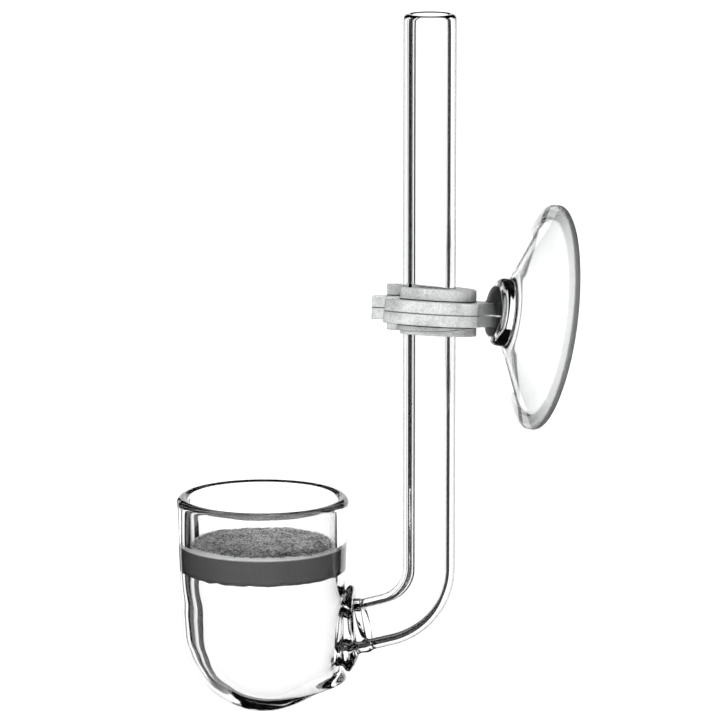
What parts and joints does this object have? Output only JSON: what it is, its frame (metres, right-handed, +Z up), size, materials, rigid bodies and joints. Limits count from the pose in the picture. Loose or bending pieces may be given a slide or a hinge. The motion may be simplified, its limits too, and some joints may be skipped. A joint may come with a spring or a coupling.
{
  "type": "carbon dioxide diffuser",
  "caption": "Bent glass tube ending in a round cup with a sintered disc that breaks gas into fine bubbles; a soft split clip and suction cup hold it on a pane.",
  "frame": {"origin": "bottom centre of the overall box; the bowl's lowest point is at height 0", "axes": "+Z up the stem, +X from the bowl toward the suction cup, +Y to the left of someone facing +X"},
  "size_m": [0.0464, 0.0264, 0.0808],
  "materials": {
    "clear_glass": "clear, flame polished",
    "sintered_glass": "granular, opaque",
    "clear_soft_pvc": "clear, glossy",
    "milky_soft_pvc": "milky, satin"
  },
  "bodies": {
    "cup": {"suction_cup": "clear_soft_pvc"},
    "ring": {"clip_ring": "milky_soft_pvc"},
    "bush": {"clip_bush": "milky_soft_pvc"},
    "glassware": {"bowl": "clear_glass", "frit_disc": "sintered_glass", "stem": "clear_glass", "weld_bead": "clear_glass", "weld_ring": "clear_glass"}
  },
  "joints": [
    {"name": "cup_swivel", "type": "hinge", "parent": "cup", "child": "ring", "pos_m": [0.0137, -0.00069, 0.04652], "axis": [0.9358, 0.3168, -0.1547], "continuous": true},
    {"name": "clip_turn", "type": "hinge", "parent": "ring", "child": "bush", "pos_m": [0.00574, -0.00338, 0.04694], "axis": [0, 0, 1], "range_deg": [-66, 104]},
    {"name": "stem_slide", "type": "slide", "parent": "bush", "child": "glassware", "axis": [0, 0, 1], "range_m": [-0.016, 0.025]}
  ]
}
